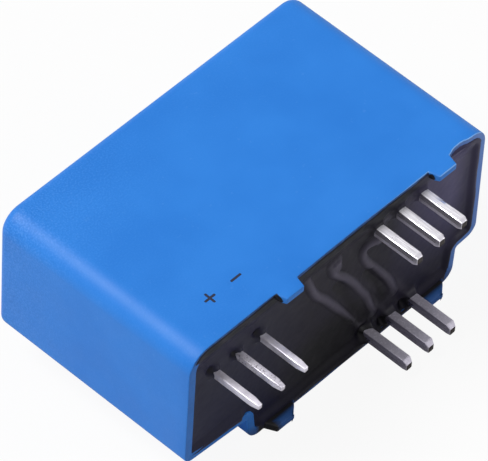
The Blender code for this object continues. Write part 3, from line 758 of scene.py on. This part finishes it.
def tinnedCopper():
    # Bright tin dipped over copper: a clean soft mirror with fine streaks along the bar, duller
    # where flux and resin crept up it. The inner third of the stamped edge, and the inner face,
    # are torn and stay dull grey. The left edges are sheared and grey; painted light and shade
    # make them dark at the outer face and light towards the inner one on the front legs, and
    # dark on the back legs. The back legs carry a painted shade, with lighter specks on it.
    # The end was cut after plating and shows dark oxidised copper.
    plan = barPlan
    low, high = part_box("primary_bar_1")
    middleZ = (low.z + high.z) / 2
    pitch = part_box("primary_bar_2")[0].x - low.x
    thick = plan["thickness"]
    material, shader, add = startMaterial("bright tin on copper")
    coordinates = add("TexCoord").outputs
    place = coordinates["Object"]
    x, y, z = add("SeparateXYZ", place).outputs
    facing = add("SeparateXYZ", coordinates["Normal"]).outputs
    drawn = add("Mapping", Vector=place, Scale=(1.0, plan["streakStretch"], 1.0))
    streaks = add("TexNoise", drawn, 1 / plan["streakWidth"], 4.0)
    fromMiddle = add("Math", add("Math", z, middleZ, operation="SUBTRACT"), operation="ABSOLUTE")
    innerFace = middleZ - low.z - thick
    start, end = plan["tornDepth"]
    torn = add("MapRange", fromMiddle, innerFace + start, innerFace + end, 1.0, 0.0)
    frontLeg = add("MapRange", z, middleZ - 1.0 * mm, middleZ + 1.0 * mm)
    backLeg = add("Math", 1.0, frontLeg, operation="SUBTRACT")
    intoBar = add("Math", add("Math", x, low.x, operation="SUBTRACT"), pitch / 2, -pitch / 2,
                  operation="WRAP")
    sheared = add("MapRange", intoBar, *plan["shearedWidth"], 0.8, 0.0)
    # A painted shade darkens the back legs, a little more towards the resin; lighter specks lie on
    # it.
    legShade = add("MapRange", y, rimY - 4.0 * mm, rimY - 1.4 * mm, 0.5, 0.6)
    shaded = add("Math", legShade, backLeg, operation="MULTIPLY")
    specks = patches(add, place, plan["speckSize"], 4.0, 0.5, 0.62, 0.0, 0.9)
    specks = add("Math", specks, shaded, operation="MULTIPLY")
    # The sheared side's painted light and shade: on the front legs dark at the outer face and
    # light at the inner one, on the back legs dark.
    inwards = add("MapRange", fromMiddle, innerFace, innerFace + thick, 1.0, 0.0)
    frontTone = add("Mix", inwards, *plan["frontSideShadeToLight"], data_type="RGBA")
    shearedShadeAndLight = add("Mix", frontLeg, plan["backSideShade"], frontTone, data_type="RGBA")
    tipEnd = low.y + plan["tipLength"]
    coined = add("MapRange", y, tipEnd - 0.05 * mm, tipEnd + 0.05 * mm, 0.3, 0.0)
    cut = add("MapRange", y, low.y + 0.02 * mm, low.y + 0.05 * mm, 1.0, 0.0)
    base = add("Mix", add("MapRange", streaks, 0.3, 0.7), *plan["tin"], data_type="RGBA")
    for share, tone in ((torn, plan["torn"]), (shaded, plan["legShade"]),
                        (specks, plan["specks"]), (sheared, shearedShadeAndLight),
                        (coined, plan["coined"]), (cut, plan["cut"])):
        base = add("Mix", share, base, tone, data_type="RGBA")
    start, end = plan["creep"]
    crept = add("MapRange", y, rimY - start, rimY - end)
    for share in (frontLeg, add("MapRange", facing["Z"], 0.5, 0.8)):
        crept = add("Math", crept, share, operation="MULTIPLY")
    matt = 0.0
    for share, most in ((sheared, 0.35), (crept, 0.9), (shaded, 0.3)):
        matt = add("Math", matt, add("Math", share, most, operation="MULTIPLY"),
                   operation="MAXIMUM")
    dull = patches(add, place, plan["glossPatches"], 4.0, 0.35, 0.7, 0.18, 0.26)
    for share, more in ((torn, 0.26), (crept, 0.2), (coined, 0.4)):
        dull = add("Math", share, more, dull, operation="MULTIPLY_ADD")
    relief = add("Bump", Height=streaks, Distance=0.001 * mm, Strength=0.35)
    fillInputs(shader, Base_Color=base, Roughness=dull, Normal=relief,
               Metallic=add("Math", 1.0, matt, operation="SUBTRACT"))
    return material


def buildPrimaryBars():
    finishThree("primary_bar", buildStaple, tinnedCopper(), "tinned_copper")
    print("primary bars bent")


# The secondary pins: square wire with a chamfered end.

pinPlan = {
    "tipLength": 0.8 * mm,
    "tipShare": 0.68,
    "edgeRadius": 0.07 * mm,
    # Their finish
    "tin": ("#BDB9C4", "#E4E0EA"),
    "tonePatches": 0.9 * mm,
    "pits": "#6E6A74",
    "pitSize": 0.16 * mm,
    "glossPatches": 0.3 * mm,
    "creep": (2.8 * mm, 0.8 * mm),
}


def buildPin(low, high):
    plan = pinPlan
    middle = (low + high) / 2
    shankStart = low.y + plan["tipLength"]
    pin = addBox((middle.x, (shankStart + high.y) / 2, middle.z),
                 (high.x - low.x, high.y - shankStart, high.z - low.z))
    drawTip(pin, plan)
    fixNormals()
    leaveEditMode()
    roundEdges(pin, plan["edgeRadius"], 3, 20, 30)
    return pin


def wornTin():
    # Matt tin plated on brass wire: silver-grey and even. The middle pin was rubbed in handling
    # and shows small dark pits and scuffs where its plating has worn.
    plan = pinPlan
    wornX = boxMiddle("secondary_pin_2")[0].x
    material, shader, add = startMaterial("worn tin on brass")
    place = add("TexCoord").outputs["Object"]
    x, y, z = add("SeparateXYZ", place).outputs
    away = add("Math", add("Math", x, wornX, operation="SUBTRACT"), operation="ABSOLUTE")
    pattern = add("TexNoise", place, 1 / plan["pitSize"], 5.0)
    pits = add("Math", add("MapRange", pattern, 0.56, 0.66, 0.0, 0.8),
               add("MapRange", away, 1.0 * mm, 1.2 * mm, 1.0, 0.12), operation="MULTIPLY")
    tone = patches(add, place, plan["tonePatches"], 3.0, 0.3, 0.7)
    base = add("Mix", tone, *plan["tin"], data_type="RGBA")
    base = add("Mix", pits, base, plan["pits"], data_type="RGBA")
    dull = patches(add, place, plan["glossPatches"], 4.0, 0.3, 0.7, 0.34, 0.44)
    start, end = plan["creep"]
    crept = add("MapRange", y, rimY - start, rimY - end)
    fillInputs(shader, Base_Color=base,
               Roughness=add("Math", crept, 0.2, dull, operation="MULTIPLY_ADD"),
               Metallic=add("Math", crept, -0.35, 1.0, operation="MULTIPLY_ADD"),
               Normal=add("Bump", Height=pattern, Distance=0.001 * mm, Strength=0.4))
    return material


def buildSecondaryPins():
    finishThree("secondary_pin", buildPin, wornTin(), "tinned_brass")
    print("secondary pins made")


# The cast resin that fills the case. It lies a little below the rim, brims over the front wall
# and the raised back, climbs the pins and has set in ridges over the wires just under it.

resinPlan = {
    "depth": 0.3 * mm,
    "step": 0.1 * mm,
    "skin": 0.05 * mm,
    "margin": 1.2 * mm,
    "intoWall": 0.03 * mm,
    "brimInset": 0.05 * mm,
    "brimLift": 1.6 * mm,
    "brimSink": 0.004 * mm,
    "roofGap": 0.4 * mm,
    "wallClimb": 0.1 * mm,
    "wallReach": 0.3 * mm,
    "pinReach": 0.2 * mm,
    "frontReach": 1.5 * mm,
    "backReach": 1.1 * mm,
    "sideReach": 0.5 * mm,
    "bareEdge": 0.24 * mm,
    "bareSideEdge": 0.45 * mm,
    "bareRightEdge": 0.5 * mm,
    "bareRightEnd": 0.6 * mm,
    "backCover": (7.9 * mm, 30.8 * mm),
    "ridgeHeight": 0.32 * mm,
    "ridgeWidth": 0.46 * mm,
    "valleyDepth": 0.2 * mm,
    "valleyWidth": 0.8 * mm,
    "swell": 0.04 * mm,
    "swellSize": 3.2 * mm,
    "ripple": 0.006 * mm,
    "rippleSize": 0.5 * mm,
    "edgeWander": 0.05 * mm,
    "edgeWanderSize": 1.3 * mm,
    # Its finish
    "base": ("#1D1D34", "#14111F"),
    # A painted shade in the hollows
    "hollowShadeTone": "#07060C",
    "cloudTone": "#2A2638",
    "cloudSize": 2.2 * mm,
    # A painted shade in a low patch by the back
    "lowShadeTone": "#060509",
    "lowShadePlace": (16.8 * mm, 3.6 * mm),
    "lowShadeStretch": 0.6,
    "lowShadeRadii": (1.8 * mm, 4.4 * mm),
    # A painted reflection towards the right front
    "reflectionTone": "#6B6690",
    # A painted sheen on the ridges
    "ridgeSheenTone": "#514D5D",
    # A painted shade along the front wall
    "frontTone": "#080A13",
    "glossPatches": 1.1 * mm,
    "grainSize": 0.4 * mm,
    "grainDepth": 0.006 * mm,
    # How far the resin climbs each kind of pin.
    "pinClimb": {"secondary": 0.4 * mm, "upper": 0.42 * mm, "lower": 0.6 * mm},
    # Ridges, in mm from the left end and down from the marked face, and how high each stands.
    "ridges": (
        ((13.2, 1.9), (14.2, 4.4), (15.5, 6.2), (16.9, 8.3), (18.2, 10.3), (19.3, 12.0)),
        ((15.95, 2.6), (16.2, 3.5), (16.75, 4.3), (17.6, 5.3), (18.75, 6.9), (19.7, 8.6),
         (20.5, 10.0), (21.1, 11.6), (21.7, 13.1)),
        ((21.7, 4.4), (21.1, 3.9), (20.0, 3.65), (19.7, 4.3), (20.3, 5.8), (21.6, 7.8),
         (22.8, 9.65), (23.6, 11.2), (24.1, 12.6)),
        ((22.7, 2.4), (22.1, 2.05), (21.9, 2.4), (22.1, 3.0)),
        ((25.3, 2.3), (24.8, 2.2), (24.7, 2.7)),
        ((16.35, 2.5), (16.5, 3.3), (16.85, 4.1)),
        ((16.75, 2.45), (16.8, 3.2), (16.95, 3.9)),
    ),
    "ridgeShares": (1.0, 1.0, 1.0, 0.45, 0.4, 0.95, 0.97),
    # The valleys between the ridges, in the same way; the resin's colour paints them dark as a
    # painted shade.
    "valleys": (
        ((16.9, 5.9), (17.9, 7.8), (18.9, 9.7), (19.8, 11.1), (20.6, 12.6)),
        ((20.5, 7.2), (21.4, 8.9), (22.2, 10.5), (22.8, 12.0)),
    ),
    # Hollows, each as its place, its radius and its depth in mm.
    "hollows": (
        (20.5, 14.3, 0.6, 0.32), (22.8, 14.9, 0.55, 0.42), (25.2, 14.9, 0.55, 0.42),
        (2.6, 3.6, 0.35, 0.2), (5.2, 3.8, 0.35, 0.2), (7.7, 3.5, 0.35, 0.2),
        (16.6, 12.4, 2.6, 0.14),
    ),
}


# Each pin's middle and half size in x and z, where it stands in the resin.
def pinFootprints():
    pins = []
    for number in (1, 2, 3):
        middle, half = boxMiddle(f"secondary_pin_{number}")
        pins.append(("secondary", middle.x, middle.z, half.x, half.z))
        middle, half = boxMiddle(f"primary_bar_{number}")
        thick = barPlan["thickness"] / 2
        pins.append(("upper", middle.x, middle.z + half.z - thick, half.x, thick))
        pins.append(("lower", middle.x, middle.z - half.z + thick, half.x, thick))
    return pins


def smoothShare(value):
    value = np.clip(value, 0, 1)
    return value * value * (3 - 2 * value)


# A smooth curve through the points, as places in x and z.
def ridgePath(points):
    places = np.array([(leftX + x * mm, frontZ - down * mm) for x, down in points])
    padded = np.vstack((2 * places[0] - places[1], places, 2 * places[-1] - places[-2]))
    share = np.linspace(0, 1, 6, endpoint=False)[:, None]
    path = []
    for before, start, end, after in zip(padded, padded[1:], padded[2:], padded[3:]):
        third = 3 * (start - end) + after - before
        second = 2 * before - 5 * start + 4 * end - after
        path.append(start + share / 2 * (end - before + share * (second + share * third)))
    return np.vstack(path + [places[-1:]])


# Each point's distance to a path, and how far along the path its nearest place is.
def distanceToPath(points, path):
    nearest = np.full(len(points), 1.0)
    along = np.zeros(len(points))
    for index in range(len(path) - 1):
        run = path[index + 1] - path[index]
        offset = points - path[index]
        share = np.clip(offset @ run / np.linalg.norm(run) ** 2, 0, 1)
        reach = np.linalg.norm(offset - share[:, None] * run, axis=1)
        closer = reach < nearest
        nearest[closer] = reach[closer]
        along[closer] = (index + share[closer]) / (len(path) - 1)
    return nearest, along


# How far ridges rise, and hollows sink, from the resin's level.
def resinRelief(points):
    rise = np.zeros(len(points))
    for path, share in zip(resinPlan["ridges"], resinPlan["ridgeShares"]):
        gap, along = distanceToPath(points, ridgePath(path))
        band = np.clip(1 - (gap / resinPlan["ridgeWidth"]) ** 2, 0, 1)
        ends = np.clip(np.minimum(along, 1 - along) * 8, 0, 1)
        rise = np.maximum(rise, share * band * (0.45 + 0.55 * ends) * (1.15 - 0.55 * along))
    sink = np.zeros(len(points))
    for path in resinPlan["valleys"]:
        gap = distanceToPath(points, ridgePath(path))[0]
        band = np.clip(1 - (gap / resinPlan["valleyWidth"]) ** 2, 0, 1) ** 2
        sink = np.maximum(sink, resinPlan["valleyDepth"] * band)
    for x, down, radius, depth in resinPlan["hollows"]:
        reach = np.hypot(points[:, 0] - leftX - x * mm, points[:, 1] - frontZ + down * mm)
        sink += depth * mm * np.exp(-(reach / (radius * mm)) ** 3)
    return rise, sink


# How far the resin's skin stands above its level at each point in x and z.
def resinHeights(points, outline, rimOutline):
    plan = resinPlan
    x, z = points[:, 0], points[:, 1]
    wallGap = distanceToPath(points, outline)[0]
    heights = plan["wallClimb"] * np.exp(-wallGap / plan["wallReach"])
    brim = plan["depth"] + plan["skin"]
    front = smoothShare((z - frontZ + casePlan["wall"] + plan["frontReach"]) / plan["frontReach"])
    start, end = plan["backCover"]
    back = smoothShare((backZ + casePlan["wall"] + plan["backReach"] - z) / plan["backReach"])
    back *= smoothShare((x - leftX - start) / mm) * smoothShare((leftX + end - x) / mm)
    inside = casePlan["wall"] + plan["sideReach"]
    rimGap = distanceToPath(points, rimOutline)[0]
    right = smoothShare((inside - rimGap) / plan["sideReach"])
    right *= smoothShare((x - raisedEndX + 1.5 * mm) / mm)
    thin = smoothShare((backZ + casePlan["backStep"] + inside - z) / (2 * plan["sideReach"]))
    thin *= smoothShare((raisedStartX - x) / mm)
    heights += (brim - heights) * np.maximum.reduce((front, back, right, thin))
    rise, sink = resinRelief(points)
    heights += plan["ridgeHeight"] * rise - sink
    for kind, pinX, pinZ, halfX, halfZ in pinFootprints():
        gapX = np.maximum(np.abs(x - pinX) - halfX, 0)
        gapZ = np.maximum(np.abs(z - pinZ) - halfZ, 0)
        heights += plan["pinClimb"][kind] * np.exp(-np.hypot(gapX, gapZ) / plan["pinReach"])
    bare = np.full(len(points), plan["bareEdge"])
    bare[(x < raisedStartX) & (z < frontZ / 2)] = plan["bareSideEdge"]
    bare[(x > raisedEndX - 2 * mm) & (z > frontZ - 1.5 * mm)] = plan["bareRightEdge"]
    bare[(x > raisedEndX - mm) & (z < frontZ - 1.5 * mm)] = plan["bareRightEnd"]
    for index, (spotX, spotZ) in enumerate(points):
        spot = Vector((spotX, 0.0, spotZ))
        heights[index] += plan["swell"] * noise.noise(spot / plan["swellSize"])
        heights[index] += plan["ripple"] * noise.noise(spot / plan["rippleSize"])
        bare[index] += plan["edgeWander"] * noise.noise(spot / plan["edgeWanderSize"])
    return heights - 0.8 * np.clip(bare - rimGap, 0, 1)


def plateOutline(plate):
    leaveEditMode()
    ring = [plate.data.vertices[index].co for index in plate.data.polygons[0].vertices]
    return np.array([(place.x, place.z) for place in ring + ring[:1]])


def raisePlate(plate, height):
    editMesh(plate)
    selectMesh()
    extrude((0, height, 0))
    fixNormals()
    leaveEditMode()


# Keeps each point's relief on the mesh, where the resin's colour reads it to paint a sheen on the
# ridges and a shade in the hollows.
def markRelief(resin):
    rise, sink = resinRelief(meshPlaces(resin)[:, [0, 2]])
    relief = resin.data.attributes.new("relief", "FLOAT", "POINT")
    relief.data.foreach_set("value", 0.5 + 0.5 * rise - np.minimum(0.5, sink / (0.4 * mm)))


# A fine grid is set to the resin's heights and drawn up into the case, and what lies inside
# the cavity, and over the rim's inner edge, is kept of it.
def buildResin():
    plan = resinPlan
    level = rimY + plan["depth"]
    over = plan["brimLift"]
    cutter = outlinePlate(insetCorners(caseCorners(), casePlan["wall"] - plan["intoWall"]),
                          level - over)
    outline = plateOutline(cutter)
    raisePlate(cutter, casePlan["cavityDepth"] + over - plan["roofGap"])
    brim = outlinePlate(insetCorners(caseCorners(), plan["brimInset"]), rimY - over)
    rimOutline = plateOutline(brim)
    raisePlate(brim, over - plan["brimSink"])
    combine(cutter, brim, "UNION")
    low = outline.min(axis=0) - plan["margin"]
    high = outline.max(axis=0) + plan["margin"]
    size = high - low
    deselectAll()
    bpy.ops.mesh.primitive_grid_add(x_subdivisions=int(size[0] / plan["step"]),
                                    y_subdivisions=int(size[1] / plan["step"]), size=1.0,
                                    rotation=(math.radians(90), 0, 0))
    resin = bpy.context.object
    resin.scale = (size[0], size[1], 1.0)
    resin.location = ((low[0] + high[0]) / 2, level, (low[1] + high[1]) / 2)
    applyPlace(resin)
    places = meshPlaces(resin)
    places[:, 1] -= resinHeights(places[:, [0, 2]], outline, rimOutline)
    resin.data.vertices.foreach_set("co", places.ravel())
    editMesh(resin, "EDGE")
    bpy.ops.mesh.select_non_manifold()
    extrude((0, casePlan["cavityDepth"] + 2 * mm, 0))
    bpy.ops.mesh.edge_face_add()
    fixNormals()
    leaveEditMode()
    combine(resin, cutter, "INTERSECT")
    markRelief(resin)
    for vert in resin.data.vertices:
        vert.co.y += rimDent(vert.co)
    makeActive(resin)
    bpy.ops.object.shade_smooth_by_angle(angle=math.radians(40))
    finishPiece(resin, "castResin", blackEpoxyCasting(), "black_resin", "potting_compound")
    print("resin cast,", len(resin.data.polygons), "faces")


def blackEpoxyCasting():
    # Black-filled epoxy poured and cured in the case: a deep violet black, semi-gloss. A painted
    # sheen makes it paler on the ridges, and a painted reflection towards the right front; a
    # painted shade darkens it in the hollows, along the front wall and in a low patch by the back.
    plan = resinPlan
    material, shader, add = startMaterial("cast black epoxy", IOR=1.5, Specular_IOR_Level=0.16)
    place = add("TexCoord").outputs["Object"]
    x, y, z = add("SeparateXYZ", place).outputs
    relief = add("Attribute", attribute_name="relief").outputs["Fac"]
    clouds = patches(add, place, plan["cloudSize"], 4.0, 0.4, 0.75, 0.0, 0.16)
    # A painted shade darkens a low patch of the resin by the back.
    stretch = plan["lowShadeStretch"]
    lowShadeX, lowShadeZ = plan["lowShadePlace"]
    flat = add("Mapping", Vector=place, Scale=(stretch, 0.0, 1.0))
    away = add("VectorMath", flat, (stretch * (leftX + lowShadeX), 0.0, backZ + lowShadeZ),
               operation="DISTANCE")
    lowShade = add("MapRange", away, *plan["lowShadeRadii"], 0.85, 0.0)
    # A painted reflection lightens the resin towards the right front.
    paintedReflection = add("MapRange", x, 6 * mm, 16 * mm, 0.0, 0.7)
    for share in (add("MapRange", z, backZ + 3 * mm, backZ + 10 * mm, 0.1, 1.0),
                  add("MapRange", x, rightX - 3.2 * mm, rightX - 1.6 * mm, 1.0, 0.35)):
        paintedReflection = add("Math", paintedReflection, share, operation="MULTIPLY")
    frontShade = add("Math", add("MapRange", z, frontZ - 1.5 * mm, frontZ - 0.85 * mm, 0.0, 0.85),
                     add("MapRange", x, rightX - 8.4 * mm, rightX - 6.4 * mm, 1.0, 0.0),
                     operation="MULTIPLY")
    base = add("Mix", add("MapRange", x, leftX + 6 * mm, leftX + 14 * mm), *plan["base"],
               data_type="RGBA")
    # A painted shade darkens the hollows and the valleys.
    base = add("Mix", add("MapRange", relief, 0.0, 0.5), plan["hollowShadeTone"], base,
               data_type="RGBA")
    # A painted sheen lightens the ridges.
    ridges = add("MapRange", relief, 0.5, 1.0)
    for share, tone in ((clouds, "cloudTone"), (lowShade, "lowShadeTone"), (paintedReflection, "reflectionTone"),
                        (ridges, "ridgeSheenTone"), (frontShade, "frontTone")):
        base = add("Mix", share, base, plan[tone], data_type="RGBA")
    dull = patches(add, place, plan["glossPatches"], 4.0, 0.3, 0.7, 0.34, 0.48)
    uneven = add("Bump", Height=add("TexNoise", place, 1 / plan["grainSize"], 3.0),
                 Distance=plan["grainDepth"], Strength=0.5)
    fillInputs(shader, Base_Color=base, Roughness=dull, Normal=uneven)
    return material


# The supply's plus and minus, printed flat on the front face beside their pins.

printPlan = {
    "thickness": 0.006 * mm,
    "stroke": 0.21 * mm,
    "signSize": 1.12 * mm,
    "rounding": 0.35,
    "plusPlace": (5.5 * mm, 3.2 * mm),
    "minusPlace": (8.34 * mm, 3.2 * mm),
    "ink": ("#020A24", "#041238"),
    "dotSize": 0.18 * mm,
}


def addStroke(place, width, height):
    thick = printPlan["thickness"]
    stroke = addBox((leftX + place[0], rimY + place[1], frontZ + thick / 2),
                    (width, height, thick))
    pick(stroke, "EDGE", lambda middle, run: abs(run.normalized().z) > 0.9)
    bpy.ops.mesh.bevel(offset=printPlan["rounding"] * min(width, height), segments=3)
    leaveEditMode()
    return stroke


def printedInk():
    # Solvent ink jetted in small dots: near-black blue, matt, with slightly uneven cover.
    material, shader, add = startMaterial("jetted marking ink", Roughness=0.6, IOR=1.45)
    dots = add("TexNoise", add("TexCoord").outputs["Object"], 1 / printPlan["dotSize"], 2.0)
    fillInputs(shader, Base_Color=add("Mix", add("MapRange", dots, 0.35, 0.7),
                                      *printPlan["ink"], data_type="RGBA"))
    return material


def buildPrint():
    size, line = printPlan["signSize"], printPlan["stroke"]
    plus = addStroke(printPlan["plusPlace"], size, line)
    combine(plus, addStroke(printPlan["plusPlace"], line, size), "UNION")
    minus = addStroke(printPlan["minusPlace"], size, line)
    ink = printedInk()
    finishPiece(plus, "plus_sign", ink, "blue_plastic")
    finishPiece(minus, "minus_sign", ink, "blue_plastic")
    print("signs printed")


# What the resin hides keeps its solids, and each gets the finish of its own material. The
# patterns' sizes are in mm; what is finer on the real part is drawn coarser, so that it shows.

hiddenPlan = {
    "sheetThickness": 0.46,
    "turnPitch": 0.2,
    "weavePitch": 0.6,
    "poreSize": 0.15,
    "endLength": 0.3,
    # The plain finishes: their nodes, pattern size, two tones, gloss, relief and IOR.
    "plain": {
        # Glass-filled polyamide, moulded: matt black, grey flecks where fibres reach the skin.
        "moulded black polyamide": (("primary_carrier",), 0.3, "#16161A", "#2C2C31", (0.5, 0.62),
                                    0.01, 1.53),
        # Natural nylon, moulded: milky white and satin, a little yellow where it is thick.
        "moulded natural nylon": (("coil_bobbin",), 1.5, "#E6E2D4", "#F1EFE6", (0.42, 0.52), 0.006,
                                  1.53),
        # Polyester film tape: glossy yellow, with faint wrinkles from being wound on.
        "polyester winding tape": (("coil_tape",), 0.9, "#DDB52C", "#E8C445", (0.2, 0.32), 0.02,
                                   1.57),
        # Epoxy, transfer-moulded: near-black, matt, with a fine eroded texture.
        "transfer-moulded epoxy": (("hall_element", "amplifier_chip", "driver_transistor_1",
                                    "driver_transistor_2"), 0.15, "#1B1B1C", "#262627",
                                   (0.52, 0.64), 0.006, 1.55),
    },
}


def dress(material, *nodes):
    for node in nodes:
        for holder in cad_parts[node].material_slots:
            holder.material = material


# A base of two colours in patches, an uneven gloss and a fine relief.
def patchyMaterial(name, size, first, second, gloss, depth, **values):
    material, shader, add = startMaterial(name, **values)
    place = add("TexCoord").outputs["Object"]
    pattern = add("TexNoise", place, 1 / (size * mm), 4.0)
    base = add("Mix", add("MapRange", pattern, 0.35, 0.65), first, second, data_type="RGBA")
    fillInputs(shader, Base_Color=base, Roughness=add("MapRange", pattern, 0.3, 0.7, *gloss),
               Normal=add("Bump", Height=pattern, Distance=depth * mm, Strength=0.5))
    return material, shader, add, place, base


# The scale at which a wave runs once per pitch, in mm.
def bandScale(pitch):
    return math.pi / 10 / (pitch * mm)


def coreSteel():
    # Silicon steel sheet, stamped and annealed: dull blue-grey metal, darker between the sheets.
    material, shader, add, place, base = patchyMaterial(
        "stamped silicon steel", 0.8, "#7C8088", "#9A9DA4", (0.36, 0.5), 0.002, Metallic=1.0)
    sheets = add("TexWave", place, bandScale(hiddenPlan["sheetThickness"]), bands_direction="Z")
    joints = add("MapRange", sheets.outputs["Fac"], 0.0, 0.25, 0.7, 0.0)
    fillInputs(shader, Base_Color=add("Mix", joints, base, "#3A3C44", data_type="RGBA"))
    return material


def coilWire(name, wound):
    # Copper wire in clear enamel: warm metal under a clear amber gloss.
    material, shader, add, place, base = patchyMaterial(
        name, 0.5, "#B5622C", "#CC7C41", (0.26, 0.36), 0.001, Metallic=1.0, Coat_Weight=0.6)
    if wound:
        turns = add("TexWave", place, bandScale(hiddenPlan["turnPitch"])).outputs["Fac"]
        # A painted shade darkens the grooves between the turns.
        grooveShade = add("MapRange", turns, 0.0, 0.35, 0.8, 0.0)
        fillInputs(shader, Base_Color=add("Mix", grooveShade, base, "#5A2811", data_type="RGBA"),
                   Normal=add("Bump", Height=turns, Distance=0.05 * mm, Strength=0.8))
    return material


def boardLaminate():
    # Glass-epoxy laminate under solder mask: glossy green, the weave showing faintly through.
    material, shader, add, place, base = patchyMaterial(
        "solder-masked laminate", 1.2, "#11692C", "#157335", (0.24, 0.34), 0.003, IOR=1.5)
    scale = bandScale(hiddenPlan["weavePitch"])
    threads = [add("TexWave", place, scale, bands_direction=axis).outputs["Fac"]
               for axis in "XY"]
    weave = add("Math", *threads, operation="MULTIPLY")
    fillInputs(shader, Base_Color=add("Mix", add("MapRange", weave, 0.3, 0.9, 0.0, 0.35), base,
                                      "#2C8F4E", data_type="RGBA"))
    return material


def chipCeramic(name, node, first, second):
    # Fired ceramic with fine pores, its two ends dipped in tin.
    material, shader, add, place, base = patchyMaterial(
        name, hiddenPlan["poreSize"], first, second, (0.34, 0.46), 0.004, IOR=1.6)
    middle, half = boxMiddle(node)
    axis = max(range(3), key=lambda index: half[index])
    reach = half[axis] - hiddenPlan["endLength"] * mm
    apart = add("SeparateXYZ", place).outputs
    away = add("Math", add("Math", apart[axis], middle[axis], operation="SUBTRACT"),
               operation="ABSOLUTE")
    ends = add("MapRange", away, reach, reach + 0.02 * mm)
    fillInputs(shader, Base_Color=add("Mix", ends, base, "#C4C2C8", data_type="RGBA"),
               Metallic=ends)
    return material


def dressHiddenParts():
    for name, (nodes, *values, ior) in hiddenPlan["plain"].items():
        dress(patchyMaterial(name, *values, IOR=ior)[0], *nodes)
    dress(coreSteel(), "core_stack_upper", "core_stack_lower")
    dress(coilWire("wound enamelled copper", True), "coil_winding")
    dress(coilWire("drawn enamelled copper", False), "coil_lead_1", "coil_lead_2")
    dress(boardLaminate(), "circuit_board")
    for number in (1, 2):
        node = f"bypass_capacitor_{number}"
        dress(chipCeramic(f"fired titanate ceramic {number}", node, "#A8835A", "#B8946A"), node)
    for number in (1, 2, 3):
        node = f"chip_resistor_{number}"
        dress(chipCeramic(f"glazed black ceramic {number}", node, "#17171A", "#222226"), node)
    print("hidden parts dressed")


makeStage()
buildCase()
buildResin()
buildPrimaryBars()
buildSecondaryPins()
buildPrint()
dressHiddenParts()
